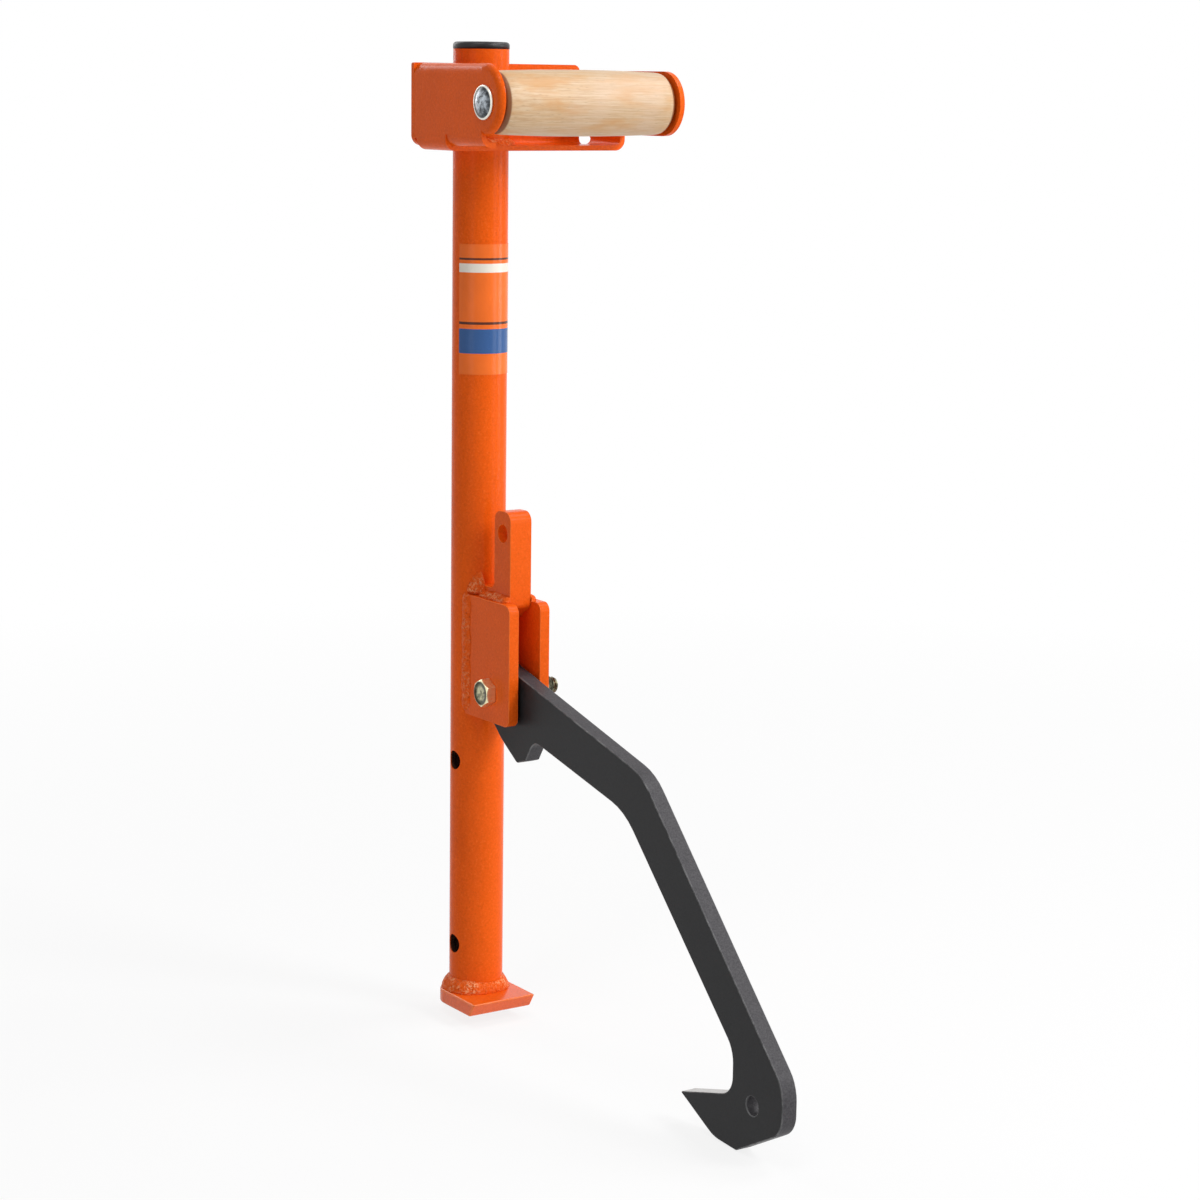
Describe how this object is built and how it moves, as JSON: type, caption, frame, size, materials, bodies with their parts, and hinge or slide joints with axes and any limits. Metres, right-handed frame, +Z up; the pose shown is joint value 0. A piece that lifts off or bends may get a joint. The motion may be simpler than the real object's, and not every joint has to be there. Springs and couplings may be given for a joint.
{
  "type": "log hauling and rolling tool",
  "caption": "Hand tool for moving logs: a steel tube with a foot, a flat hook that swings on a clevis, and a cross grip of turned wood in a bent sheet bracket.",
  "frame": {"origin": "middle of the wood grip, on its axis, where the hand holds the tool", "axes": "+X along the grip and along the hook's pivot, -Y towards the hook, +Z up along the tube to the capped end"},
  "size_m": [0.133, 0.3275, 0.5687],
  "materials": {
    "orange_coat": "satin powder coat",
    "orange_weld": "powder coat over weld beads",
    "grip_wood": "pale, fine grain, thin clear lacquer",
    "hook_steel": "satin charcoal coat",
    "cap_plastic": "matt",
    "label_film": "clear glossy film with plain bands",
    "bright_zinc": "bright zinc plate",
    "yellow_zinc": "yellow zinc plate",
    "insert_plastic": "plain"
  },
  "bodies": {
    "body": {"main_tube": "orange_coat", "tube_cap": "cap_plastic", "label_film": "label_film", "foot_plate": "orange_coat", "foot_weld": "orange_weld", "handle_bracket": "orange_coat", "bracket_welds": "orange_weld", "grip_bolt": "bright_zinc", "grip_washers": "bright_zinc", "grip_nut": "bright_zinc", "clevis_plate_left": "orange_coat", "clevis_plate_right": "orange_coat", "lug_bar": "orange_coat", "clevis_welds": "orange_weld", "lug_welds": "orange_weld", "pivot_bolt": "yellow_zinc", "hook_spacers": "bright_zinc", "pivot_washer": "yellow_zinc", "pivot_nut": "yellow_zinc", "nut_insert": "insert_plastic"},
    "grip": {"grip": "grip_wood"},
    "hook": {"hook": "hook_steel"}
  },
  "joints": [
    {"name": "hook_swing", "type": "hinge", "parent": "body", "child": "hook", "pos_m": [-0.0256, 0.0252, -0.3337], "axis": [-1, 0, 0], "range_deg": [0, 72]},
    {"name": "grip_turn", "type": "hinge", "parent": "body", "child": "grip", "pos_m": [0, 0, 0], "axis": [1, 0, 0], "continuous": true}
  ]
}
